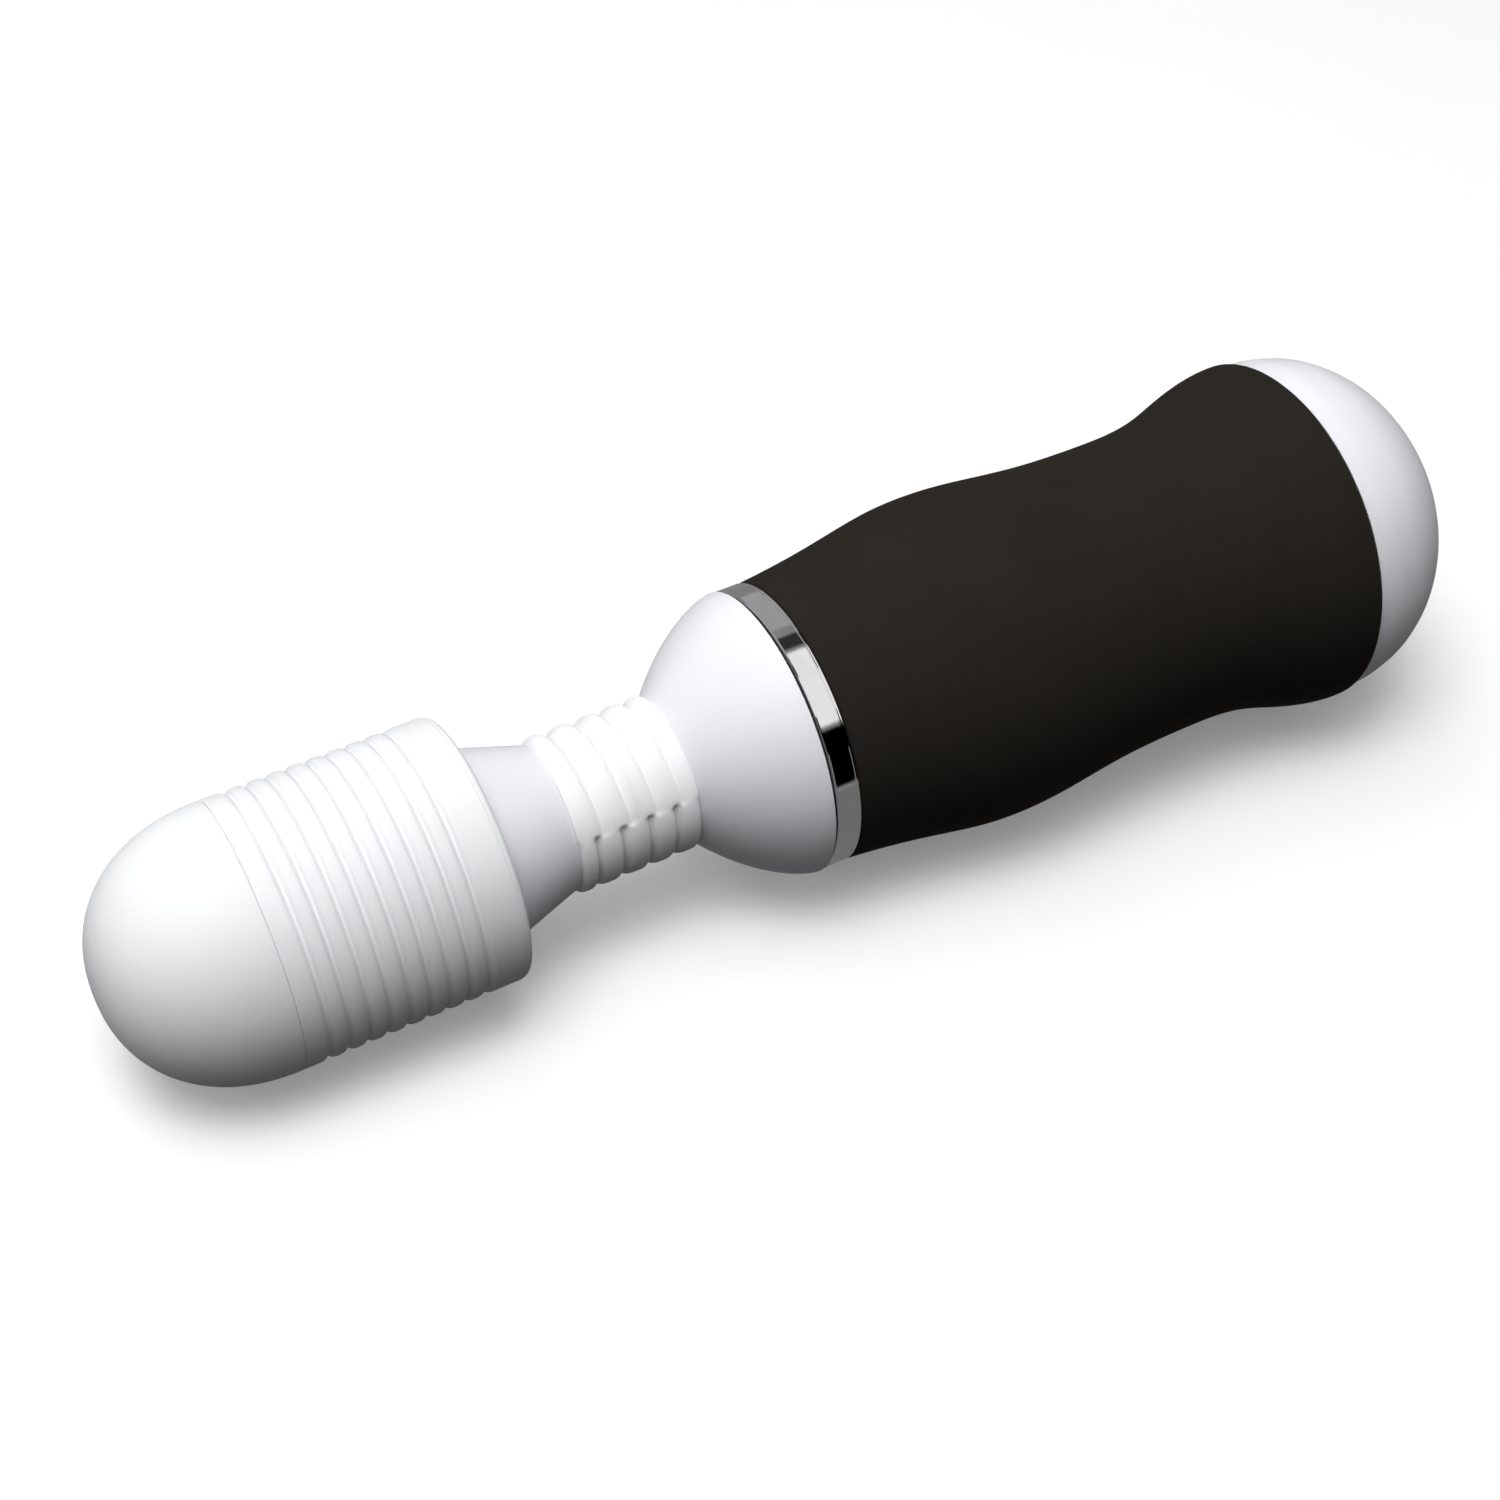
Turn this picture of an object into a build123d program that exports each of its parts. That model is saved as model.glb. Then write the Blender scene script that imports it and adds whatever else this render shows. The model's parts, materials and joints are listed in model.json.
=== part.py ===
from build123d import *
import math
import os

os.makedirs("parts", exist_ok=True)

# Cordless hand-held wand massager, in millimetres.
# Local frame while building: the wand's axis is X, the head points to -X and the tail to +X.
# x = 0 is just inside the rear edge of the bright ring, where the dark grip starts.

# ---- driving dimensions -------------------------------------------------------------------
RING_R = 21.0            # bright ring, outer radius
RING_FRONT_X = -3.4
RING_REAR_X = 0.25
RING_BORE_R = 16.6
HEAD_R = 19.1            # ribbed head sleeve over its crests
HEAD_TIP_X = -102.3
HEAD_BASE_X = -81.0      # front edge of the ribbed sleeve
HEAD_REAR_X = -48.4      # rear edge of the ribbed sleeve
HEAD_POWER = 2.18        # roundness of the head's dome (2 is an ellipse)
SKIN = 2.4               # soft cover on the head
CORE_WALL = 1.8
RIB_COUNT = 9
RIB_FIRST_X = -77.3
RIB_PITCH = 2.82
RIB_DEPTH = 0.75
RIB_HALF_W = 0.42
CONE_FRONT_R = 14.4
CONE_REAR_R = 10.6
NECK_FRONT_X = -37.3
NECK_REAR_X = -19.1
NECK_CREST_R = 11.36
NECK_VALLEY_R = 9.95
NECK_WALL = 1.5
NECK_RINGS = 5
DOME_REAR_X = -3.85      # rear edge of the front dome
DOME_R = 21.1
DOME_DEPTH = 20.4
DOME_POWER = 1.46
GRIP_STATIONS = [(0.4, 20.92), (6, 21.5), (12, 22.35), (18, 23.4), (23, 24.15), (28, 24.42), (34, 24.17), (40, 23.5),
                 (46, 22.85), (52, 22.5), (58, 22.4), (64, 22.55), (70, 23.5), (75, 25.05), (80, 26.3), (84.15, 26.6)]
GRIP_WALL = 2.2
SHELL_WALL = 2.0
TAIL_JOIN_X = 84.45      # front edge of the tail dial
TAIL_CENTRE_X = 86.0
TAIL_R = 26.0
TAIL_DEPTH = 21.1
TAIL_POWER = 2.0
TAIL_WALL = 2.4
MOUTH_R = 19.7           # battery mouth in the handle
CELL_R = 7.25            # AA size
CELL_LEN = 49.0
CELL_PITCH_R = 8.46
MOTOR_R = 12.0
MOTOR_FRONT_X = -87.0
MOTOR_REAR_X = -61.0
SHAFT_R = 1.0
SHAFT_CLEAR = 0.05
REST_TILT = 2.72         # degrees: the wand lies on its head's rim and on the grip's front swell
REST_PATCH = 0.3         # depth of the flat patches that the soft skins form where the wand lies
GAP = 0.05


# ---- helpers ------------------------------------------------------------------------------
def turned(points):
    """Solid of revolution about X from a closed outline of (x, r) points."""
    return revolve(make_face(Polyline(*points, close=True)), Axis.X, 360)


def tube(x0, x1, r_out, r_in=0.0):
    return turned([(x0, r_in), (x1, r_in), (x1, r_out), (x0, r_out)])


def rod(x0, x1, r, y=0.0, z=0.0):
    return Pos(x0, y, z) * Rot(0, 90, 0) * Cylinder(r, x1 - x0, align=(Align.CENTER, Align.CENTER, Align.MIN))


def cross_rod(y0, y1, r, x, z):
    return Pos(x, y0, z) * Rot(-90, 0, 0) * Cylinder(r, y1 - y0, align=(Align.CENTER, Align.CENTER, Align.MIN))


def dome_points(base_x, r, depth, power, way, count=13, first=0.0):
    """Quarter super-ellipse from the pole on the axis to the rim; way is -1 for a pole towards -X."""
    pts = []
    for i in range(count):
        a = math.radians(first + (90.0 - first) * i / (count - 1))
        pts.append((base_x + way * depth * math.cos(a) ** (2 / power), r * math.sin(a) ** (2 / power)))
    return pts


def dome_shell(base_x, r, depth, power, way, wall, end_x):
    """Hollow dome with its pole on the axis and a short straight skirt from base_x to end_x."""
    outer = dome_points(base_x, r, depth, power, way)
    inner = dome_points(base_x, r - wall, depth - wall, power, way)
    lines = Spline(*outer, tangents=[(0, 1), (-way, 0)])
    lines += Line(outer[-1], (end_x, r)) + Line((end_x, r), (end_x, r - wall))
    lines += Line((end_x, r - wall), inner[-1])
    lines += Spline(*inner, tangents=[(0, 1), (-way, 0)])
    lines += Line(inner[0], outer[0])
    return revolve(make_face(lines), Axis.X, 360)


def coil(radius, wire, pitch, x0, turns):
    """Round-wire spring along X."""
    path = Helix(pitch=pitch, height=pitch * turns, radius=radius)
    start = path @ 0
    section = Plane(origin=start, z_dir=path % 0) * Circle(wire)
    spring = sweep(section, path=path, is_frenet=True)
    return Pos(x0, 0, 0) * Rot(0, 90, 0) * spring


def group(shapes):
    """Separate solids kept together as one node."""
    return Compound([solid for shape in shapes for solid in shape.solids()])


def around(shape, count, first=0.0):
    return [Rot(first + 360.0 * i / count, 0, 0) * shape for i in range(count)]


def grip_edge(offset):
    """The grip's swelling outline, moved inward by offset."""
    pts = [(x, r - offset) for x, r in GRIP_STATIONS]
    return Spline(*pts)


# ---- head ---------------------------------------------------------------------------------
def head_dome():
    depth = HEAD_BASE_X - HEAD_TIP_X
    return dome_shell(HEAD_BASE_X, HEAD_R, depth, HEAD_POWER, -1, SKIN, HEAD_BASE_X + 0.3)


def ribbed_sleeve():
    front = HEAD_BASE_X + 0.3
    pts = [(front, HEAD_R - SKIN), (front, HEAD_R - 0.3), (front + 0.3, HEAD_R)]
    for i in range(RIB_COUNT):
        x = RIB_FIRST_X + i * RIB_PITCH
        pts += [(x - RIB_HALF_W, HEAD_R), (x - 0.12, HEAD_R - RIB_DEPTH)]
        pts += [(x + 0.12, HEAD_R - RIB_DEPTH), (x + RIB_HALF_W, HEAD_R)]
    pts += [(HEAD_REAR_X - 0.9, HEAD_R), (HEAD_REAR_X - 0.25, HEAD_R - 0.3), (HEAD_REAR_X, HEAD_R - 0.9)]
    pts += [(HEAD_REAR_X, HEAD_R - SKIN)]
    return turned(pts)


def head_core_front():
    """Hard cup under the dome, down to the spigot joint with the rear core."""
    depth = HEAD_BASE_X - HEAD_TIP_X - SKIN - GAP
    r = HEAD_R - SKIN - GAP
    cup = dome_shell(HEAD_BASE_X, r, depth, HEAD_POWER, -1, CORE_WALL, -70.0)
    inner = r - CORE_WALL
    spigot = [(-73.0, inner), (-69.95, inner), (-69.95, inner - 0.04), (-66.0, inner - 0.04)]
    spigot += [(-66.0, inner - 0.9), (-73.0, inner - 0.9)]
    return cup + turned(spigot)


def head_core_rear():
    """Tube with the back wall that carries the neck cone."""
    r = HEAD_R - SKIN - GAP
    body = tube(-69.95, -49.05, r, r - CORE_WALL)
    wall = tube(-51.9, -49.05, r, 9.2)
    cut = around(rod(-52.5, -48.0, 1.1, 0, 11.6), 3, 60)
    back = tube(-49.05, HEAD_REAR_X, r, 14.9)
    shape = body + wall + back
    for c in cut:
        shape -= c
    return shape


def motor_can():
    can = tube(MOTOR_FRONT_X, MOTOR_REAR_X - 1.5, MOTOR_R, MOTOR_R - 1.0)
    front = tube(MOTOR_FRONT_X, MOTOR_FRONT_X + 1.0, MOTOR_R, SHAFT_R + SHAFT_CLEAR)
    nose = tube(MOTOR_FRONT_X - 1.5, MOTOR_FRONT_X, 3.0, SHAFT_R + SHAFT_CLEAR)
    return can + front + nose


def motor_magnets():
    arc = revolve(make_face(Polyline((-84.5, 9.3), (-68.5, 9.3), (-68.5, 10.95), (-84.5, 10.95), close=True)),
                  Axis.X, 130)
    return group([Rot(25, 0, 0) * arc, Rot(205, 0, 0) * arc])


def motor_endcap():
    plate = tube(MOTOR_REAR_X - 1.45, MOTOR_REAR_X, MOTOR_R, SHAFT_R + SHAFT_CLEAR)
    skirt = tube(MOTOR_REAR_X - 4.0, MOTOR_REAR_X - 1.45, 10.9, 9.4)
    hub = tube(MOTOR_REAR_X, MOTOR_REAR_X + 1.2, 1.8, SHAFT_R + SHAFT_CLEAR)
    tabs = rod(MOTOR_REAR_X, MOTOR_REAR_X + 0.5, 1.6, 6.4, 0) + rod(MOTOR_REAR_X, MOTOR_REAR_X + 0.5, 1.6, -6.4, 0)
    return plate + skirt + hub + tabs


def motor_mounts():
    """Two rubber bands that hold the motor in the core."""
    r_out = HEAD_R - SKIN - 2 * GAP - CORE_WALL - 0.95
    front = tube(-80.0, -76.0, r_out + 0.9, MOTOR_R + 0.02)
    rear = tube(-71.5, -67.5, r_out, MOTOR_R + 0.02)
    return group([front, rear])


def motor_shaft():
    return rod(-95.0, MOTOR_REAR_X + 1.0, SHAFT_R)


def armature():
    body = tube(-83.0, -70.0, 8.7, SHAFT_R + 0.01)
    for slot in around(Pos(-76.5, 0, 6.6) * Box(14, 1.8, 6.0), 3, 30):
        body -= slot
    return body


def windings():
    """Copper end turns at both ends of the armature."""
    front = tube(-85.2, -83.1, 7.2, 3.2)
    rear = tube(-69.9, -67.8, 7.2, 3.2)
    return group([front, rear])


def commutator():
    return tube(-67.6, -63.4, 2.8, SHAFT_R + 0.01)


def eccentric_weight():
    """Half-disc weight hanging below the shaft."""
    half = revolve(make_face(Polyline((-94.4, 1.04), (-89.0, 1.04), (-89.0, 9.0), (-94.4, 9.0), close=True)),
                   Axis.X, 180)
    hub = tube(-94.4, -89.0, 2.6, SHAFT_R + 0.01)
    return Rot(180, 0, 0) * half + hub


def neck_cone():
    """Plain tapered collar between the head and the bellows, screwed to the head's back wall."""
    pts = [(-49.0, 9.1), (-49.0, CONE_FRONT_R), (NECK_FRONT_X, CONE_REAR_R), (NECK_FRONT_X, 7.25)]
    pts += [(-44.2, 7.25), (-44.2, 9.1)]
    shape = turned(pts)
    for c in around(rod(-49.5, -46.5, 1.04, 0, 11.6), 3, 60):
        shape -= c
    return shape


def cone_screws():
    one = rod(-51.9, -46.8, 1.0, 0, 11.6) + rod(-53.1, -51.9, 1.9, 0, 11.6)
    return group(around(one, 3, 60))


def leads(x0, x1):
    return group([rod(x0, x1, 0.7, 2.6, 0), rod(x0, x1, 0.7, -2.6, 0)])


def leads_head():
    """Two insulated wires from the motor's solder tabs to the neck."""
    wires = []
    for side in (1, -1):
        route = [(-60.4, 6.4 * side, 0), (-55.0, 5.2 * side, 0), (-48.0, 2.7 * side, 0), (NECK_FRONT_X, 2.6 * side, 0)]
        path = Spline(*route, tangents=[(1, 0, 0), (1, 0, 0)])
        section = Plane(origin=path @ 0, z_dir=path % 0) * Circle(0.7)
        wires.append(sweep(section, path=path))
    return group(wires)


# ---- neck ---------------------------------------------------------------------------------
def neck_bellows():
    """Soft ringed tube; each ring is a rounded wave between the valley and the crest radius."""
    pitch = (NECK_REAR_X - NECK_FRONT_X - 0.1) / (NECK_RINGS - 0.3)
    mid = (NECK_CREST_R + NECK_VALLEY_R) / 2
    amp = (NECK_CREST_R - NECK_VALLEY_R) / 2
    x0 = NECK_FRONT_X + 0.05
    x1 = NECK_REAR_X - 0.05
    count = NECK_RINGS * 8
    outer = []
    for i in range(count + 1):
        x = x0 + (x1 - x0) * i / count
        phase = 2 * math.pi * ((x - x0) / pitch - 0.35)
        outer.append((x, mid + amp * math.cos(phase)))
    inner = [(x0, NECK_VALLEY_R - NECK_WALL), (x1, NECK_VALLEY_R - NECK_WALL)]
    lines = Spline(*outer) + Line(outer[-1], inner[1]) + Line(inner[1], inner[0]) + Line(inner[0], outer[0])
    return revolve(make_face(lines), Axis.X, 360)


def neck_spring():
    length = NECK_REAR_X - NECK_FRONT_X - 2.0
    return coil(6.5, 0.75, length / 5.0, NECK_FRONT_X + 1.0, 5.0)


def neck_guide():
    """Disc that keeps the leads centred in the spring."""
    disc = tube(-30.5, -25.5, 5.35)
    for y in (2.6, -2.6):
        disc -= rod(-31, -25, 0.85, y, 0)
    return disc


def spring_seat_front():
    return tube(-44.1, NECK_FRONT_X + 0.1, 7.2, 4.2)


def spring_seat_rear():
    return tube(NECK_REAR_X - 0.1, -13.0, 7.2, 4.2)


# ---- handle -------------------------------------------------------------------------------
def front_dome():
    """Egg-shaped front of the handle, with the spigot that carries the gasket and the bright ring."""
    full = dome_points(DOME_REAR_X, DOME_R, DOME_DEPTH, DOME_POWER, -1, 25)
    outer = [p for p in full if p[0] > NECK_REAR_X + 0.3]
    cut = (DOME_REAR_X - NECK_REAR_X) / DOME_DEPTH
    front_r = DOME_R * (1 - cut ** DOME_POWER) ** (1 / DOME_POWER)
    outer = [(NECK_REAR_X, front_r)] + outer
    spigot_out = RING_BORE_R - GAP
    spigot_in = spigot_out - 1.8
    lines = Spline(*outer)
    chain = [outer[-1], (DOME_REAR_X, spigot_out), (6.0, spigot_out), (6.0, spigot_in), (-7.0, spigot_in)]
    chain += [(-13.0, 9.4), (-15.7, 9.3), (-15.7, 7.25), (NECK_REAR_X, 7.25), outer[0]]
    lines += Polyline(*chain)
    return revolve(make_face(lines), Axis.X, 360)


def ring_gasket():
    """Thin dark gasket between the front dome and the bright ring, set back from both."""
    return tube(DOME_REAR_X + 0.02, RING_FRONT_X - 0.02, RING_R - 0.4, RING_BORE_R)


def chrome_ring():
    """Bright band with a chamfered front edge and a fine groove before its rear lip."""
    x0, x1 = RING_FRONT_X, RING_REAR_X
    pts = [(x0, RING_BORE_R), (x0, RING_R - 0.25), (x0 + 0.25, RING_R), (x1 - 0.62, RING_R)]
    pts += [(x1 - 0.5, RING_R - 0.12), (x1 - 0.42, RING_R - 0.12), (x1 - 0.3, RING_R), (x1 - 0.12, RING_R)]
    pts += [(x1, RING_R - 0.12), (x1, RING_BORE_R)]
    return turned(pts)


def grip_sleeve():
    """Soft dark grip over the whole handle."""
    x0, r0 = GRIP_STATIONS[0]
    x1, r1 = GRIP_STATIONS[-1]
    lines = grip_edge(0.0) + Line((x1, r1), (x1, r1 - GRIP_WALL)) + grip_edge(GRIP_WALL)
    lines += Line((x0, r0 - GRIP_WALL), (x0, r0))
    return revolve(make_face(lines), Axis.X, 360)


def handle_tube():
    """Both handle halves in one piece, before they are parted."""
    x0, r0 = GRIP_STATIONS[0]
    x1, r1 = GRIP_STATIONS[-1]
    out = GRIP_WALL + 0.02
    inn = out + SHELL_WALL
    lines = grip_edge(out) + Line((x1, r1 - out), (x1, r1 - inn)) + grip_edge(inn)
    lines += Line((x0, r0 - inn), (x0, r0 - out))
    shape = revolve(make_face(lines), Axis.X, 360)
    limit = grip_plug(out + 0.5)
    ribs = [tube(7.4, 9.2, 24.0, 14.6), tube(11.0, 12.6, 24.0, 14.6), tube(21.6, 24.4, 25.0, 17.4)]
    ribs += [tube(48.0, 50.0, 25.0, 17.45), tube(74.0, 76.4, 25.0, 17.4), tube(80.0, x1, 25.0, MOUTH_R)]
    for rib in ribs:
        shape += rib & limit
    for z in (13.0, -13.0):
        shape += cross_rod(-16.0, 16.0, 2.9, 17.0, z) & limit
        shape -= cross_rod(-9.5, 9.0, 1.3, 17.0, z)
        shape -= cross_rod(6.0, 30.0, 2.6, 17.0, z)
    return shape


def grip_plug(offset):
    """Solid core inside the grip outline, used to trim ribs."""
    x0, r0 = GRIP_STATIONS[0]
    x1, r1 = GRIP_STATIONS[-1]
    lines = grip_edge(offset) + Line((x1, r1 - offset), (x1, 0)) + Line((x1, 0), (x0, 0))
    lines += Line((x0, 0), (x0, r0 - offset))
    return revolve(make_face(lines), Axis.X, 360)


def handle_half(side):
    """side 1 is the half towards +Y, -1 the half towards -Y; they part on the upright plane."""
    block = Pos(42, side * 20.03, 0) * Box(120, 40, 80)
    return handle_tube() & block


def handle_screws():
    screws = []
    for z in (13.0, -13.0):
        screws.append(cross_rod(-9.3, 7.7, 1.25, 17.0, z) + cross_rod(6.02, 7.7, 2.3, 17.0, z))
    return group(screws)


def control_board():
    board = tube(9.3, 10.9, 15.6)
    for y in (2.6, -2.6):
        board -= rod(9.0, 11.5, 0.8, y, 0)
    board -= Pos(10, 0, 15.9) * Box(4, 8, 3)
    return board


def board_parts():
    chip = Pos(11.8, 0, -5.5) * Box(1.7, 7.0, 5.0)
    cap = rod(10.95, 18.0, 3.2, -8.0, -4.0)
    choke = rod(10.95, 15.5, 3.6, 8.2, -4.0)
    small = [Pos(11.4, y, 6.5) * Box(0.9, 1.6, 3.0) for y in (-6.0, 0.0, 6.0)]
    return group([chip, cap, choke] + small)


# ---- battery pack -------------------------------------------------------------------------
def battery_carrier():
    front = tube(21.7, 23.6, 17.2)
    rear = tube(77.65, 79.2, 17.2)
    frame = front + rear + rod(23.6, 77.65, 1.1)
    for z_rod in around(rod(23.6, 77.65, 2.2, 0, 14.4), 3, 60):
        frame += z_rod
    for hole in around(rod(21.0, 24.0, 1.2, 0, 6.0), 3, 0):
        frame -= hole
    return frame


def battery_cells():
    one = rod(27.0, 27.0 + CELL_LEN, CELL_R, 0, CELL_PITCH_R)
    one = chamfer(one.edges().filter_by(GeomType.CIRCLE), 0.5)
    one += rod(27.0 + CELL_LEN, 27.0 + CELL_LEN + 1.2, 2.75, 0, CELL_PITCH_R)
    return group(around(one, 3, 0))


def contact_springs():
    one = Pos(0, 0, CELL_PITCH_R) * coil(4.2, 0.35, 1.15, 24.05, 2.2)
    return group(around(one, 3, 0))


def contact_plates():
    one = rod(77.25, 77.6, 5.2, 0, CELL_PITCH_R)
    return group(around(one, 3, 0))


# ---- tail: battery cap with the speed dial -------------------------------------------------
def cap_base():
    """Plug in the battery mouth: flange, spigot with the seal's groove, and the switch's well."""
    flange = tube(84.2, 86.6, 22.6)
    spigot_pts = [(79.9, 16.4), (79.9, 19.4), (81.3, 19.4), (81.3, 18.2), (82.9, 18.2), (82.9, 19.4)]
    spigot_pts += [(84.2, 19.4), (84.2, 16.4)]
    shape = flange + turned(spigot_pts)
    shape += tube(86.6, 87.6, 11.5)
    for hole in around(rod(84.0, 88.0, 1.05, 0, 9.8), 2, 90):
        shape -= hole
    for y in (5.0, -5.0):
        shape -= rod(83.5, 87.7, 1.25, y, 0)
    return shape


def seal_ring():
    """Round-section rubber ring in the spigot's groove."""
    ring = Torus(18.93, 0.68)
    return Pos(82.1, 0, 0) * Rot(0, 90, 0) * ring


def cap_contacts():
    """Two sprung pins from the switch to the battery pack's end."""
    one = rod(79.35, 88.6, 0.9, 5.0, 0) + rod(82.5, 83.4, 1.5, 5.0, 0)
    return group([one, Rot(180, 0, 0) * one])


def switch_body():
    """Round rotary switch on the cap's flange."""
    can = tube(88.65, 95.0, 8.2, 4.9)
    floor_plate = tube(87.65, 88.65, 11.0)
    lid = tube(95.0, 96.0, 8.2, 3.0 + SHAFT_CLEAR)
    for y in (5.0, -5.0):
        floor_plate -= rod(87.0, 88.7, 1.0, y, 0)
    for hole in around(rod(87.0, 89.0, 1.05, 0, 9.8), 2, 90):
        floor_plate -= hole
    return can + floor_plate + lid


def switch_screws():
    one = rod(84.3, 89.8, 1.0, 0, 9.8) + rod(88.7, 89.8, 1.45, 0, 9.85)
    return group(around(one, 2, 90))


def switch_shaft():
    """Turns with the dial; its shoulder is trapped inside the switch."""
    post = rod(90.0, 103.6, 3.0)
    shoulder = tube(91.0, 94.0, 4.5)
    flat = Pos(101.0, 0, 3.0) * Box(5.4, 6.0, 1.2)
    return post + shoulder - flat


def tail_dial():
    """Large round tail that turns to switch on and set the speed, with the hub for the shaft."""
    skin = dome_shell(TAIL_CENTRE_X, TAIL_R, TAIL_DEPTH, TAIL_POWER, 1, TAIL_WALL, TAIL_JOIN_X)
    hub = tube(97.0, 105.6, 5.6)
    bore = rod(96.0, 103.7, 3.02) - Pos(101.0, 0, 3.02) * Box(5.2, 7.0, 1.1)
    ribs = around(Pos(99.5, 0, 9.0) * Box(4.0, 1.4, 8.0), 3, 30)
    shape = skin + (hub & dial_core())
    for rib in ribs:
        shape += rib & dial_core()
    return shape - bore


def dial_core():
    """Solid inside the dial's outer skin, used to trim its hub and ribs."""
    outer = dome_points(TAIL_CENTRE_X, TAIL_R - 1.2, TAIL_DEPTH - 1.2, TAIL_POWER, 1)
    lines = Spline(*outer, tangents=[(0, 1), (-1, 0)])
    lines += Line(outer[-1], (TAIL_CENTRE_X, 0)) + Line((TAIL_CENTRE_X, 0), outer[0])
    return revolve(make_face(lines), Axis.X, 360)


# ---- assembly -----------------------------------------------------------------------------
def all_nodes():
    nodes = {
        "head_dome": head_dome(),
        "ribbed_sleeve": ribbed_sleeve(),
        "head_core_front": head_core_front(),
        "head_core_rear": head_core_rear(),
        "motor_can": motor_can(),
        "motor_magnets": motor_magnets(),
        "motor_endcap": motor_endcap(),
        "motor_mounts": motor_mounts(),
        "motor_shaft": motor_shaft(),
        "armature": armature(),
        "windings": windings(),
        "commutator": commutator(),
        "eccentric_weight": eccentric_weight(),
        "neck_cone": neck_cone(),
        "cone_screws": cone_screws(),
        "leads_head": leads_head(),
        "leads_neck": leads(NECK_FRONT_X + 0.1, NECK_REAR_X - 0.1),
        "leads_handle": leads(NECK_REAR_X, 11.4),
        "neck_bellows": neck_bellows(),
        "neck_spring": neck_spring(),
        "neck_guide": neck_guide(),
        "spring_seat_front": spring_seat_front(),
        "spring_seat_rear": spring_seat_rear(),
        "front_dome": front_dome(),
        "ring_gasket": ring_gasket(),
        "chrome_ring": chrome_ring(),
        "grip_sleeve": grip_sleeve(),
        "handle_shell_left": handle_half(1),
        "handle_shell_right": handle_half(-1),
        "handle_screws": handle_screws(),
        "control_board": control_board(),
        "board_parts": board_parts(),
        "battery_carrier": battery_carrier(),
        "battery_cells": battery_cells(),
        "contact_springs": contact_springs(),
        "contact_plates": contact_plates(),
        "cap_base": cap_base(),
        "seal_ring": seal_ring(),
        "cap_contacts": cap_contacts(),
        "switch_body": switch_body(),
        "switch_screws": switch_screws(),
        "switch_shaft": switch_shaft(),
        "tail_dial": tail_dial(),
    }
    return nodes


def main():
    nodes = all_nodes()
    tilt = Rot(0, -REST_TILT, 0)
    nodes = {name: tilt * shape for name, shape in nodes.items()}
    boxes = [nodes[n].bounding_box() for n in ("head_dome", "ribbed_sleeve", "front_dome", "grip_sleeve", "tail_dial")]
    x_mid = (min(b.min.X for b in boxes) + max(b.max.X for b in boxes)) / 2
    z_low = min(b.min.Z for b in boxes) + REST_PATCH
    surface = Pos(0, 0, z_low - 20) * Box(400, 200, 40)
    for name in ("head_dome", "ribbed_sleeve", "grip_sleeve"):
        nodes[name] -= surface
    for name, shape in nodes.items():
        placed = Pos(-x_mid, 0, -z_low) * shape
        export_step(placed, f"parts/{name}.step")
    print("x_mid", round(x_mid, 4), "z_low", round(z_low, 4))
    for b in boxes:
        print(round(b.min.Z - z_low, 3))


main()
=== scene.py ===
import json
import math

import bpy
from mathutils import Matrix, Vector


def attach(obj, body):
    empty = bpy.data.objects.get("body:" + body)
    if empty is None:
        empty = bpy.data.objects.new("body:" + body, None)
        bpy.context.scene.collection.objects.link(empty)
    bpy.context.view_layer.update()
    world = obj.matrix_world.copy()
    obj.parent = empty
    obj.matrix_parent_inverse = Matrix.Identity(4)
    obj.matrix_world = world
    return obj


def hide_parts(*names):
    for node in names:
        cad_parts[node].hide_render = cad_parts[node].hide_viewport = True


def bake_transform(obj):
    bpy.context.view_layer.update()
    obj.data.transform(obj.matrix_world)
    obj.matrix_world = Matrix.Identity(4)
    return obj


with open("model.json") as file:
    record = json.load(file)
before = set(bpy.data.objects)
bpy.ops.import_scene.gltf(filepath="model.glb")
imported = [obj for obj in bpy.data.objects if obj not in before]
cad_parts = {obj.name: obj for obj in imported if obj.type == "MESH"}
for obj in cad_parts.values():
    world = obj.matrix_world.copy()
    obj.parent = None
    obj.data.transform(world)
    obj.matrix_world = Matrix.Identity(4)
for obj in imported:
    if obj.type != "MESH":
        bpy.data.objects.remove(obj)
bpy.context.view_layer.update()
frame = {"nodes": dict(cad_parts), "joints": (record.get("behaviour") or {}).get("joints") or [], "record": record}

# ------------------------------------------------------------------ the wand's own frame
# Distances along the axis (s) and radii are in millimetres. s = 0 is just inside the bright ring's rear
# edge, and s grows towards the tail. Angles are round the axis: 0 faces the camera and + goes downwards.
joints = {j["name"]: j for j in frame["joints"]}
MM = 0.001
PITCH_AT = -24.0            # s of the neck_pitch joint
AXIS = Vector(joints["dial_turn"]["axis"]).normalized()
ORIGIN = Vector(joints["neck_pitch"]["pos_m"]) - AXIS * PITCH_AT * MM

CAM_AZ, CAM_EL = -28.146, 41.808            # degrees
CAM_DISTANCE, CAM_LENS = 0.37373, 63.22     # metres, and millimetres on a 36 mm sensor
CAM_CENTRE = Vector((-0.005747, 0.000222, -0.002812))   # what it looks at, from ORIGIN


def back_vector(az, el):
    a, e = math.radians(az), math.radians(el)
    return Vector((math.sin(a) * math.cos(e), -math.cos(a) * math.cos(e), math.sin(e)))


NEAR = back_vector(CAM_AZ, CAM_EL)
NEAR = (NEAR - AXIS * NEAR.dot(AXIS)).normalized()
DOWN = AXIS.cross(NEAR)
if DOWN.z > 0:
    DOWN = -DOWN


def at(s, r=0.0, angle=0.0):
    return ORIGIN + (AXIS * s + (NEAR * math.cos(angle) + DOWN * math.sin(angle)) * r) * MM


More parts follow.
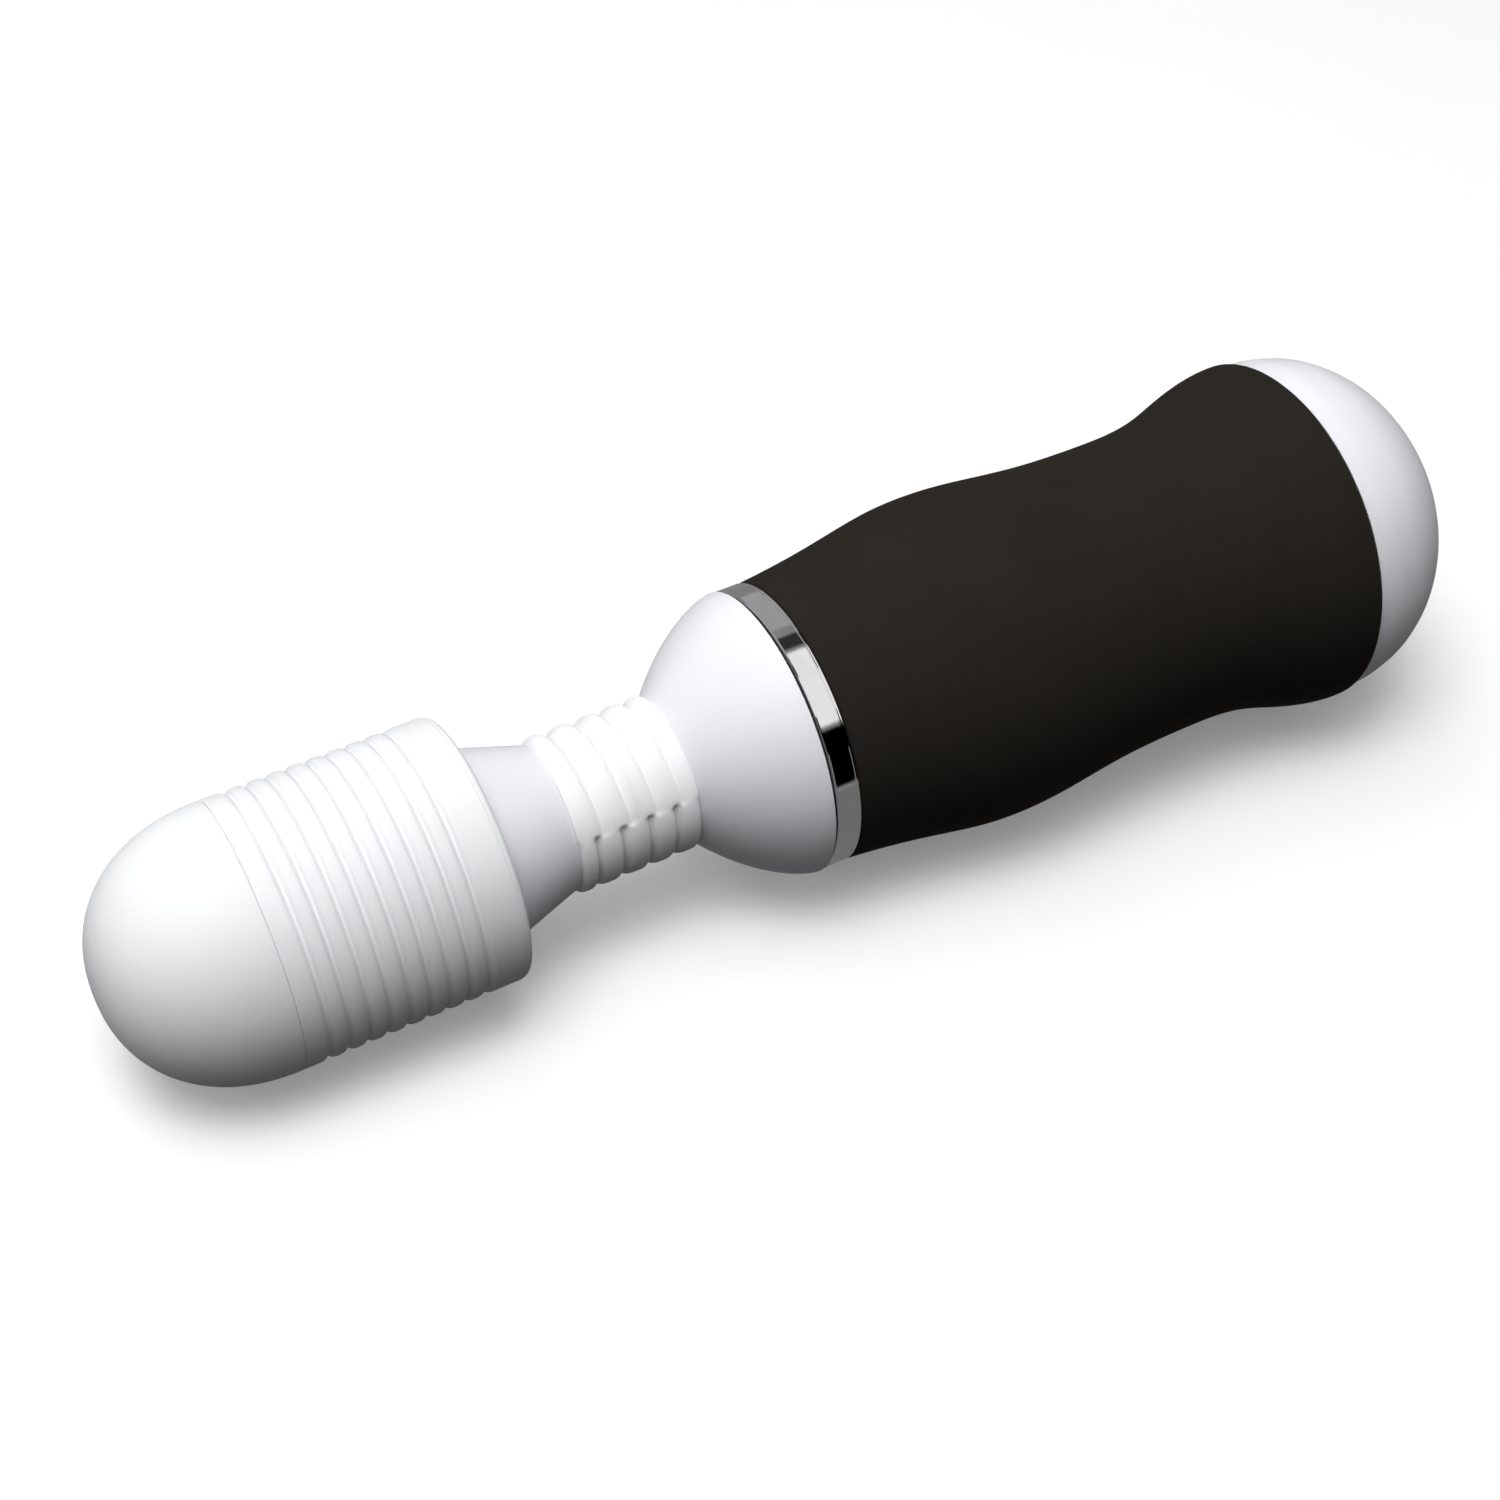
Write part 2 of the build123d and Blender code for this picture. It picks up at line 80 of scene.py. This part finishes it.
# ------------------------------------------------------------------ mesh builders
def finish_mesh(name, verts, faces, body, material):
    """The soft skins lie on small flat patches, so nothing goes below the surface they rest on."""
    mesh = bpy.data.meshes.new(name)
    mesh.from_pydata([(v.x, v.y, max(v.z, 0.0)) for v in verts], [], faces)
    mesh.validate()
    mesh.update()
    for poly in mesh.polygons:
        poly.use_smooth = True
    obj = bpy.data.objects.new(name, mesh)
    bpy.context.scene.collection.objects.link(obj)
    mesh.materials.append(material)
    if body:
        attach(obj, body)
    return obj


def lathe(name, profile, body, material, segs=192, shape=None, closed=True):
    """Turns a list of (s, r) round the axis. shape(s, r, angle) may return another radius."""
    verts, rings = [], []
    for s, r in profile:
        if r < 1e-6:
            rings.append([len(verts)])
            verts.append(at(s))
        else:
            row = []
            for k in range(segs):
                a = 2 * math.pi * k / segs
                row.append(len(verts))
                verts.append(at(s, shape(s, r, a) if shape else r, a))
            rings.append(row)
    faces = []
    pairs = list(zip(rings, rings[1:]))
    if closed:
        pairs.append((rings[-1], rings[0]))
    for a, b in pairs:
        if len(a) == 1 and len(b) == 1:
            continue
        for k in range(segs):
            n = (k + 1) % segs
            if len(a) == 1:
                faces.append((a[0], b[n], b[k]))
            elif len(b) == 1:
                faces.append((a[k], a[n], b[0]))
            else:
                faces.append((a[k], a[n], b[n], b[k]))
    return finish_mesh(name, verts, faces, body, material)


def super_dome(base, r, depth, power, way, count=48):
    pts = []
    for i in range(count + 1):
        a = math.pi / 2 * i / count
        pts.append((base + way * depth * math.cos(a) ** (2 / power), r * math.sin(a) ** (2 / power)))
    return pts


def tube_mesh(name, centre, radius, t0, t1, steps, body, material, sides=14):
    """Round wire along centre(t), given in the wand's frame as (s, r, angle)."""
    pts = [at(*centre(t0 + (t1 - t0) * i / steps)) for i in range(steps + 1)]
    verts, faces = [], []
    up = AXIS.copy()
    for i, p in enumerate(pts):
        d = (pts[min(i + 1, steps)] - pts[max(i - 1, 0)]).normalized()
        if abs(d.dot(AXIS)) > 0.9:
            up = NEAR
        u = (up - d * up.dot(d)).normalized()
        v = d.cross(u)
        for k in range(sides):
            a = 2 * math.pi * k / sides
            verts.append(p + (u * math.cos(a) + v * math.sin(a)) * radius * MM)
    for i in range(steps):
        for k in range(sides):
            n = (k + 1) % sides
            faces.append((i * sides + k, i * sides + n, (i + 1) * sides + n, (i + 1) * sides + k))
    faces.append(tuple(reversed(range(sides))))
    faces.append(tuple(range(steps * sides, (steps + 1) * sides)))
    return finish_mesh(name, verts, faces, body, material)


# ------------------------------------------------------------------ materials
def material(name, colour, rough, metal=0.0, vary=0.04, vary_scale=60.0, rough_vary=0.06, grain=0.0,
             grain_scale=2500.0, spec=0.5, coat=0.0, soft=0.0, stretch=(1, 1, 1)):
    """Cloudy colour and gloss, with a grain of that depth in millimetres; soft lets light scatter inside."""
    mat = bpy.data.materials.new(name)
    mat.use_nodes = True
    nt = mat.node_tree
    nodes, links = nt.nodes, nt.links
    bsdf = nodes["Principled BSDF"]
    coords = nodes.new("ShaderNodeTexCoord")
    place = nodes.new("ShaderNodeMapping")
    place.inputs["Scale"].default_value = stretch
    links.new(coords.outputs["Object"], place.inputs["Vector"])

    cloud = nodes.new("ShaderNodeTexNoise")
    cloud.inputs["Scale"].default_value = vary_scale
    cloud.inputs["Detail"].default_value = 5.0
    cloud.inputs["Roughness"].default_value = 0.55
    links.new(place.outputs["Vector"], cloud.inputs["Vector"])
    ramp = nodes.new("ShaderNodeValToRGB")
    low = [max(0.0, c * (1 - vary)) for c in colour]
    high = [min(1.0, c * (1 + vary)) for c in colour]
    ramp.color_ramp.elements[0].position = 0.3
    ramp.color_ramp.elements[1].position = 0.7
    ramp.color_ramp.elements[0].color = (*low, 1)
    ramp.color_ramp.elements[1].color = (*high, 1)
    links.new(cloud.outputs["Fac"], ramp.inputs["Fac"])
    links.new(ramp.outputs["Color"], bsdf.inputs["Base Color"])

    gloss = nodes.new("ShaderNodeTexNoise")
    gloss.inputs["Scale"].default_value = vary_scale * 3.1
    gloss.inputs["Detail"].default_value = 3.0
    links.new(place.outputs["Vector"], gloss.inputs["Vector"])
    spread = nodes.new("ShaderNodeMapRange")
    spread.inputs["From Min"].default_value = 0.3
    spread.inputs["From Max"].default_value = 0.7
    spread.inputs["To Min"].default_value = max(0.02, rough - rough_vary)
    spread.inputs["To Max"].default_value = min(1.0, rough + rough_vary)
    links.new(gloss.outputs["Fac"], spread.inputs["Value"])
    links.new(spread.outputs["Result"], bsdf.inputs["Roughness"])

    bsdf.inputs["Metallic"].default_value = metal
    bsdf.inputs["Specular IOR Level"].default_value = spec
    if coat:
        bsdf.inputs["Coat Weight"].default_value = coat
        bsdf.inputs["Coat Roughness"].default_value = 0.2
    if soft:
        bsdf.inputs["Subsurface Weight"].default_value = soft
        bsdf.inputs["Subsurface Radius"].default_value = (1.0, 1.0, 1.0)
        bsdf.inputs["Subsurface Scale"].default_value = 0.002
    if grain:
        fine = nodes.new("ShaderNodeTexNoise")
        fine.inputs["Scale"].default_value = grain_scale
        fine.inputs["Detail"].default_value = 4.0
        links.new(place.outputs["Vector"], fine.inputs["Vector"])
        bump = nodes.new("ShaderNodeBump")
        bump.inputs["Strength"].default_value = 1.0
        bump.inputs["Distance"].default_value = grain * MM
        links.new(fine.outputs["Fac"], bump.inputs["Height"])
        links.new(bump.outputs["Normal"], bsdf.inputs["Normal"])
    return mat


WHITE_SKIN = dict(grain=0.02, grain_scale=1800, spec=0.35)

MAT = {
    "head_silicone": material("soft_white_head", (0.80, 0.81, 0.825), 0.52, vary=0.012, **WHITE_SKIN),
    "neck_silicone": material("soft_white_neck", (0.87, 0.87, 0.885), 0.50, vary=0.015, soft=0.25,
                              **WHITE_SKIN),
    "white_gloss": material("shell_white", (0.78, 0.78, 0.82), 0.36, vary=0.01, grain=0.01,
                            grain_scale=1200, spec=0.4),
    "white_satin": material("collar_white", (0.76, 0.76, 0.80), 0.42, vary=0.012, grain=0.015,
                            grain_scale=1500, spec=0.4),
    "chrome": material("bright_ring", (0.80, 0.80, 0.80), 0.055, metal=1.0, vary=0.05, vary_scale=220.0,
                       rough_vary=0.015, grain=0.003, grain_scale=900.0),
    "grip_rubber": material("dark_grip", (0.0190, 0.0167, 0.0132), 0.85, vary=0.05, vary_scale=90.0,
                            grain=0.03, grain_scale=2600, spec=0.05),
    "shell_plastic": material("grained_grey", (0.34, 0.35, 0.37), 0.55, grain=0.05, grain_scale=1600),
    "inner_black": material("moulded_black", (0.02, 0.02, 0.021), 0.45, vary=0.2, grain=0.04,
                            grain_scale=1400),
    "motor_steel": material("plated_steel", (0.62, 0.62, 0.60), 0.28, metal=1.0, vary=0.08, grain=0.01,
                            stretch=(1, 8, 8)),
    "magnet_grey": material("sintered_grey", (0.10, 0.10, 0.105), 0.5, metal=0.7, vary=0.2, grain=0.05),
    "spring_steel": material("spring_wire", (0.55, 0.55, 0.56), 0.25, metal=1.0, vary=0.1, grain=0.01),
    "screw_steel": material("dark_zinc", (0.12, 0.12, 0.13), 0.35, metal=1.0, vary=0.15, grain=0.02),
    "copper": material("enamelled_copper", (0.65, 0.25, 0.11), 0.3, metal=1.0, vary=0.15, grain=0.08,
                       grain_scale=3500, stretch=(6, 1, 1)),
    "brass": material("turned_brass", (0.72, 0.53, 0.22), 0.25, metal=1.0, vary=0.1, grain=0.01,
                      stretch=(9, 1, 1)),
    "board_green": material("solder_mask", (0.02, 0.15, 0.06), 0.3, vary=0.25, vary_scale=400, grain=0.03),
    "cell_wrap": material("cell_film", (0.10, 0.13, 0.19), 0.25, vary=0.1, grain=0.01, coat=0.4),
    "mount_rubber": material("black_rubber", (0.018, 0.018, 0.019), 0.7, vary=0.15, grain=0.05, spec=0.25),
    "lead_jacket": material("wire_jacket", (0.42, 0.02, 0.02), 0.4, vary=0.08, grain=0.02),
}

slot_of = {p["node"]: p["material_slot"] for p in frame["record"]["subparts"]}
for name, obj in frame["nodes"].items():
    obj.data.materials.clear()
    obj.data.materials.append(MAT[slot_of[name]])
    for poly in obj.data.polygons:
        poly.material_index = 0

# ------------------------------------------------------------------ head
HEAD_R = 19.1
BASE, TIP, REAR = -81.0, -102.3, -48.4      # the dome's seam, the head's tip and the sleeve's rear edge
SKIN = 2.4                  # thickness of the soft skins
POWER = 2.18                # how square the dome's outline is: 2 is an ellipse
SEAM = 0.22                 # half the width, and the depth, of the rounded seam between dome and sleeve
GROOVE_COUNT, FIRST_GROOVE, GROOVE_PITCH = 9, -77.3, 2.82
GROOVE_DEPTH, GROOVE_HALF = 0.52, 0.46
RIB_CROWN = 0.07            # how much each rib bulges between its grooves


def build_head_dome():
    depth = BASE - TIP
    outer = super_dome(BASE, HEAD_R, depth, POWER, -1, 72)
    profile = outer + [(BASE + 0.06, HEAD_R - 0.01), (BASE + 0.13, HEAD_R - 0.05)]
    profile += [(BASE + 0.20, HEAD_R - 0.13)]
    profile += [(BASE + SEAM, HEAD_R - SEAM), (BASE + SEAM, HEAD_R - SKIN)]
    profile += list(reversed(super_dome(BASE, HEAD_R - SKIN, depth - SKIN, POWER, -1, 36)))
    dome = lathe("head_cap_skin", profile, "head", MAT["head_silicone"], segs=224,
                 closed=False)
    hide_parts("head_dome")


def build_sleeve():
    grooves = [FIRST_GROOVE + GROOVE_PITCH * i for i in range(GROOVE_COUNT)]
    x0 = BASE + SEAM + 0.01
    outer = [(x0, HEAD_R - SKIN), (x0, HEAD_R - SEAM)]
    outer += [(x0 + 0.04, HEAD_R - 0.13), (x0 + 0.12, HEAD_R - 0.05)]
    s = x0 + 0.24
    while s < REAR - 1.35:
        r = HEAD_R
        near = min(abs(s - g) for g in grooves)
        r -= GROOVE_DEPTH * math.exp(-((near / GROOVE_HALF) ** 2))
        if grooves[0] - 1.6 < s < grooves[-1] + 1.0:
            r -= RIB_CROWN * (1 + math.cos(2 * math.pi * (s - grooves[0]) / GROOVE_PITCH)) / 2
        outer.append((s, r))
        s += 0.09
    lip = REAR - 1.2
    outer += [(lip, HEAD_R), (lip + 0.1, HEAD_R - 0.02)]
    outer += [(lip + 0.2, HEAD_R - 0.09), (lip + 0.3, HEAD_R - 0.11)]
    for i in range(13):
        a = math.pi / 2 * i / 12
        outer.append((REAR - 0.9 + 0.9 * math.sin(a), HEAD_R - 1.0 + 0.9 * math.cos(a)))
    outer += [(REAR, HEAD_R - SKIN + 0.3), (REAR - 0.3, HEAD_R - SKIN)]
    sleeve = lathe("head_ribbed_skin", outer, "head", MAT["head_silicone"], segs=224)
    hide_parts("ribbed_sleeve")


build_head_dome()
build_sleeve()

# ------------------------------------------------------------------ neck
FRONT_END, REAR_END, NECK_MID = -37.25, -19.15, -28.0
CREST, INNER, LIP = 11.36, 8.45, 0.36
PARTING = math.radians(24.8)                # mould line: above it the rings are soft, below it sharp
PARTING_EDGE = math.radians(4.2)            # width of the step along that line
SHARP_DEPTH, SHARP_POWER = 1.14, 4.0
SOFT_DEPTH, SOFT_DEPTH_TOP, SOFT_POWER = 0.34, 1.05, 2.4
SOFT_TOP = math.radians(-70.0)              # where the soft grooves are deepest
RING_SKEW = 0.12
LOWER = [-37.45, -34.65, -30.77, -26.67, -22.79, -18.95]
UPPER = [-37.45, -33.65, -29.40, -25.50, -21.70, -18.75]


def smooth(t):
    t = min(1.0, max(0.0, t))
    return t * t * (3 - 2 * t)


def ringed(s, bounds, depth, power):
    """Rounded rings between grooves; the skew makes each one's side towards the head steeper."""
    for a, b in zip(bounds, bounds[1:]):
        if a <= s <= b:
            u = 2 * (s - a) / (b - a) - 1
            u = u - RING_SKEW * (1 - u * u)
            return CREST - depth * abs(u) ** power
    return CREST - depth


def neck_radius(s, angle):
    turn = (angle - PARTING) % (2 * math.pi)
    below = 0.0
    if turn < math.pi + PARTING_EDGE:
        below = smooth(turn / PARTING_EDGE) * (1 - smooth((turn - math.pi) / PARTING_EDGE))
    top = max(0.0, math.cos(angle - SOFT_TOP))
    soft = ringed(s, UPPER, SOFT_DEPTH + SOFT_DEPTH_TOP * top, SOFT_POWER)
    sharp = ringed(s, LOWER, SHARP_DEPTH, SHARP_POWER)
    return soft * (1 - below) + sharp * below


def build_bellows():
    """Two skins that meet in the middle, each with a lip tucked under the other so that no line shows."""
    for name, a, b in (("neck_skin_rear", NECK_MID, REAR_END), ("neck_skin_front", FRONT_END, NECK_MID)):
        steps = 84
        stations = [a + (b - a) * i / steps for i in range(steps + 1)]
        if a == NECK_MID:
            stations = [a - LIP, a - LIP * 0.67, a - LIP * 0.33] + stations
        else:
            stations += [b + LIP * 0.33, b + LIP * 0.67, b + LIP]

        def skin_radius(s, r, angle):
            if r < CREST - 0.001:
                return r
            under = max(0.0, NECK_MID - s) if a == NECK_MID else max(0.0, s - NECK_MID)
            return neck_radius(s, angle) - 0.4 * under * under

        profile = [(s, CREST) for s in stations] + [(stations[-1], INNER), (stations[0], INNER)]
        skin = lathe(name, profile, None, MAT["neck_silicone"], segs=240, shape=skin_radius)
        if a == NECK_MID:
            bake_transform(skin)
        else:
            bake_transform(skin)
        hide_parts("neck_bellows")


def build_spring():
    first, last, turns, coil_r, wire_r = -36.3, -20.2, 5.0, 6.5, 0.75

    def centre(t):
        return (first + (last - first) * t, coil_r, 2 * math.pi * turns * t)

    half = (NECK_MID - first) / (last - first)
    front = tube_mesh("neck_coil_front", centre, wire_r, 0.0, half, 130, None,
                      MAT["spring_steel"])
    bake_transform(front)
    rear = tube_mesh("neck_coil_rear", centre, wire_r, half, 1.0, 130, None,
                     MAT["spring_steel"])
    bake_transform(rear)
    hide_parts("neck_spring")
    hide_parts("neck_spring")


def build_leads():
    from_axis, wire_r = 2.6, 0.7
    side = Vector((0, 1, 0))
    turn = math.atan2(side.dot(DOWN), side.dot(NEAR))
    for index, angle in enumerate((turn, turn + math.pi)):
        def centre(t, angle=angle):
            return (t, from_axis, angle)

        front = tube_mesh("lead_front_%d" % index, centre, wire_r, FRONT_END, NECK_MID, 24, None,
                          MAT["lead_jacket"])
        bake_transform(front)
        rear = tube_mesh("lead_rear_%d" % index, centre, wire_r, NECK_MID, REAR_END, 24, None,
                         MAT["lead_jacket"])
        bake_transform(rear)
        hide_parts("leads_neck")
        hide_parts("leads_neck")


build_bellows()
build_spring()
build_leads()


# ------------------------------------------------------------------ handle
GRIP_WALL = 2.15            # thickness of the soft skin
GRIP_GAP = 0.02             # clearance to its neighbours at each end
FRONT_LIP, REAR_LIP = 0.35, 0.45    # radii of its rounded edges
STATION_STEP = 3.0          # spacing of the stations at which the outline is read


def cad_outline(node):
    """Outermost points (s, r) of a CAD node that is round about the axis, one for each station's stretch."""
    points = {}
    stations = []
    for vertex in frame["nodes"][node].data.vertices:
        arm = vertex.co - ORIGIN
        s = arm.dot(AXIS) / MM
        r = (arm - AXIS * arm.dot(AXIS)).length / MM
        stations.append(s)
        k = int(s // STATION_STEP)
        if k not in points or r > points[k][1]:
            points[k] = (s, r)
    return sorted(points.values()), min(stations), max(stations)


def natural_spline(points):
    """Cubic through the stations with free ends, as a function of s."""
    n = len(points)
    x = [p[0] for p in points]
    y = [p[1] for p in points]
    h = [x[i + 1] - x[i] for i in range(n - 1)]
    low, diag, up, rhs = [0.0] * n, [1.0] * n, [0.0] * n, [0.0] * n
    for i in range(1, n - 1):
        low[i], diag[i], up[i] = h[i - 1], 2 * (h[i - 1] + h[i]), h[i]
        rhs[i] = 6 * ((y[i + 1] - y[i]) / h[i] - (y[i] - y[i - 1]) / h[i - 1])
    for i in range(1, n):
        w = low[i] / diag[i - 1]
        diag[i] -= w * up[i - 1]
        rhs[i] -= w * rhs[i - 1]
    m = [0.0] * n
    m[-1] = rhs[-1] / diag[-1]
    for i in range(n - 2, -1, -1):
        m[i] = (rhs[i] - up[i] * m[i + 1]) / diag[i]

    def value(s):
        i = max(0, min(n - 2, sum(1 for k in x if k <= s) - 1))
        t = s - x[i]
        a = (y[i + 1] - y[i]) / h[i] - h[i] * (2 * m[i] + m[i + 1]) / 6
        return y[i] + t * (a + t * (m[i] / 2 + t * (m[i + 1] - m[i]) / (6 * h[i])))

    return value


def build_grip():
    outline, first, last = cad_outline("grip_sleeve")
    curve = natural_spline(outline)
    first += GRIP_GAP
    last -= GRIP_GAP
    outer = []
    for i in range(8):
        a = math.pi / 2 * i / 7
        outer.append((first + FRONT_LIP * (1 - math.cos(a)), curve(first) - FRONT_LIP * (1 - math.sin(a))))
    steps = 150
    for i in range(1, steps):
        s = first + FRONT_LIP + (last - first - FRONT_LIP - REAR_LIP) * i / steps
        outer.append((s, curve(s)))
    for i in range(8):
        a = math.pi / 2 * i / 7
        outer.append((last - REAR_LIP * (1 - math.sin(a)), curve(last) - REAR_LIP * (1 - math.cos(a))))
    inner = [(last, curve(last) - GRIP_WALL)]
    for i in range(1, 30):
        s = last - (last - first) * i / 30
        inner.append((s, curve(s) - GRIP_WALL))
    inner.append((first, curve(first) - GRIP_WALL))
    grip = lathe("grip_skin", outer + inner, "handle", MAT["grip_rubber"], segs=224)
    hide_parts("grip_sleeve")


build_grip()

# ------------------------------------------------------------------ stage, light and camera
FLOOR_HALF = 3.0
FLOOR_DROP = 0.0002         # keeps it just clear of the wand's flat patches
# The floor's glow at two distances, as (metres, strength), so that it is as pale far off as it is near.
GLOW_NEAR, GLOW_FAR = (0.40, 0.20), (1.30, 0.74)


def build_floor():
    mat = material("pale_floor", (0.76, 0.76, 0.765), 0.35, vary=0.004, rough_vary=0.02, spec=0.2)
    bsdf = mat.node_tree.nodes["Principled BSDF"]
    nt = mat.node_tree
    coords = nt.nodes.new("ShaderNodeTexCoord")
    reach = nt.nodes.new("ShaderNodeVectorMath")
    reach.operation = "LENGTH"
    nt.links.new(coords.outputs["Object"], reach.inputs[0])
    glow = nt.nodes.new("ShaderNodeMapRange")
    glow.inputs["From Min"].default_value, glow.inputs["To Min"].default_value = GLOW_NEAR
    glow.inputs["From Max"].default_value, glow.inputs["To Max"].default_value = GLOW_FAR
    nt.links.new(reach.outputs["Value"], glow.inputs["Value"])
    bsdf.inputs["Emission Color"].default_value = (1.0, 1.0, 1.0, 1)
    nt.links.new(glow.outputs["Result"], bsdf.inputs["Emission Strength"])
    mesh = bpy.data.meshes.new("floor")
    corners = [(x * FLOOR_HALF, y * FLOOR_HALF, 0) for x, y in ((-1, -1), (1, -1), (1, 1), (-1, 1))]
    mesh.from_pydata(corners, [], [(0, 1, 2, 3)])
    floor = bpy.data.objects.new("floor", mesh)
    bpy.context.scene.collection.objects.link(floor)
    mesh.materials.append(mat)
    floor.location.z = -FLOOR_DROP
    floor.visible_diffuse = False
    floor.visible_glossy = False


# The studio is a few long cards round the object. Each has its two edges, as angles round the object's long
# side in degrees (0 straight ahead, 90 overhead), the level that gloss mirrors, and the level that lights.
ROOM = (0.25, 0.04)         # the same two levels where there is no card
BACKDROP = (0.86, 0.865, 0.87, 1)
CARD_EDGE = 2
CARDS = [
    (-120, -20, 0.18, 0.07),    # light thrown back up from below
    (-15, 30, 0.0, 0.01),       # black flag in front
    (35, 95, 0.95, 0.26),       # long box above and in front
    (100, 110, 0.03, 0.02),     # gap behind the box
    (120, 170, 0.38, 0.04),     # rear wall
]


def card_stops(which):
    """Stops of the levels round the object, 0 for what gloss mirrors and 1 for what lights."""
    stops = [(-180, ROOM[which])]
    for low, high, *levels in CARDS:
        stops += [(low - CARD_EDGE, ROOM[which]), (low, levels[which]), (high, levels[which]),
                  (high + CARD_EDGE, ROOM[which])]
    return stops + [(180, ROOM[which])]


def level_ramp(nt, stops, tint):
    ramp = nt.nodes.new("ShaderNodeValToRGB")
    elements = ramp.color_ramp.elements
    for i, (angle, level) in enumerate(stops):
        where = (angle + 180) / 360
        if i < 2:
            knot = elements[i]
            knot.position = where
        else:
            knot = elements.new(where)
        knot.color = (*[level * t for t in tint], 1)
    return ramp


def build_world():
    """Long cards: one set of levels lights the object, one is mirrored, and the camera sees plain grey."""
    world = bpy.data.worlds.new("soft_studio")
    bpy.context.scene.world = world
    world.use_nodes = True
    nt = world.node_tree
    nodes, links = nt.nodes, nt.links
    coords = nodes.new("ShaderNodeTexCoord")
    split = nodes.new("ShaderNodeSeparateXYZ")
    links.new(coords.outputs["Generated"], split.inputs["Vector"])
    front = nodes.new("ShaderNodeMath")
    front.operation = "MULTIPLY"
    front.inputs[1].default_value = -1.0
    links.new(split.outputs["Y"], front.inputs[0])
    turn = nodes.new("ShaderNodeMath")
    turn.operation = "ARCTAN2"
    links.new(split.outputs["Z"], turn.inputs[0])
    links.new(front.outputs["Value"], turn.inputs[1])
    span = nodes.new("ShaderNodeMapRange")
    span.inputs["From Min"].default_value = -math.pi
    span.inputs["From Max"].default_value = math.pi
    links.new(turn.outputs["Value"], span.inputs["Value"])
    lit = level_ramp(nt, card_stops(1), (0.97, 0.98, 1.0))
    shown = level_ramp(nt, card_stops(0), (0.995, 0.985, 1.0))
    links.new(span.outputs["Result"], lit.inputs["Fac"])
    links.new(span.outputs["Result"], shown.inputs["Fac"])
    tail_side = nodes.new("ShaderNodeMapRange")     # the cards light less towards the tail's end
    tail_side.inputs["From Max"].default_value = 0.9
    tail_side.inputs["To Max"].default_value = 0.85
    links.new(split.outputs["X"], tail_side.inputs["Value"])
    fade = nodes.new("ShaderNodeMixRGB")
    fade.inputs["Color2"].default_value = (0.0, 0.0, 0.0, 1)
    links.new(tail_side.outputs["Result"], fade.inputs["Fac"])
    links.new(lit.outputs["Color"], fade.inputs["Color1"])
    path = nodes.new("ShaderNodeLightPath")
    pick = nodes.new("ShaderNodeMixRGB")
    links.new(path.outputs["Is Glossy Ray"], pick.inputs["Fac"])
    links.new(fade.outputs["Color"], pick.inputs["Color1"])
    links.new(shown.outputs["Color"], pick.inputs["Color2"])
    behind = nodes.new("ShaderNodeMixRGB")
    behind.inputs["Color2"].default_value = BACKDROP
    links.new(path.outputs["Is Camera Ray"], behind.inputs["Fac"])
    links.new(pick.outputs["Color"], behind.inputs["Color1"])
    links.new(behind.outputs["Color"], nodes["Background"].inputs["Color"])


LAMP_AIM = Vector((0, 0, 0.02))
LAMPS = [                   # name, place, width, depth, watts
    ("front_softbox", (-0.1, -0.4, 0.9), 1.2, 1.2, 3.0),
    ("overhead_softbox", (-0.05, 0.05, 1.05), 0.8, 0.8, 4.0),
    ("key_left", (-0.30, -0.20, 1.0), 0.5, 0.5, 4.0),
    ("key_right", (0.0, -0.30, 1.0), 0.6, 0.6, 1.5),
    ("back_softbox", (-0.15, 0.65, 0.80), 1.0, 0.8, 2.5),
    ("left_rim", (-0.85, 0.45, 0.35), 0.8, 0.8, 2.0),
]


def softbox(name, place, width, depth, power):
    data = bpy.data.lights.new(name, "AREA")
    data.shape = "RECTANGLE"
    data.size, data.size_y = width, depth
    data.energy = power
    lamp = bpy.data.objects.new(name, data)
    bpy.context.scene.collection.objects.link(lamp)
    lamp.visible_glossy = False
    lamp.location = place
    lamp.rotation_mode = "QUATERNION"
    lamp.rotation_quaternion = (Vector(place) - LAMP_AIM).to_track_quat("Z", "Y")


def build_camera():
    data = bpy.data.cameras.new("camera")
    camera = bpy.data.objects.new("camera", data)
    bpy.context.scene.collection.objects.link(camera)
    data.lens = CAM_LENS
    data.sensor_width = 36.0
    data.clip_start = 0.01
    back = back_vector(CAM_AZ, CAM_EL)
    camera.location = ORIGIN + CAM_CENTRE + back * CAM_DISTANCE
    camera.rotation_mode = "QUATERNION"
    camera.rotation_quaternion = back.to_track_quat("Z", "Y")
    bpy.context.scene.camera = camera
    bpy.context.scene.view_settings.view_transform = "Standard"


build_floor()
build_world()
for lamp in LAMPS:
    softbox(*lamp)
build_camera()
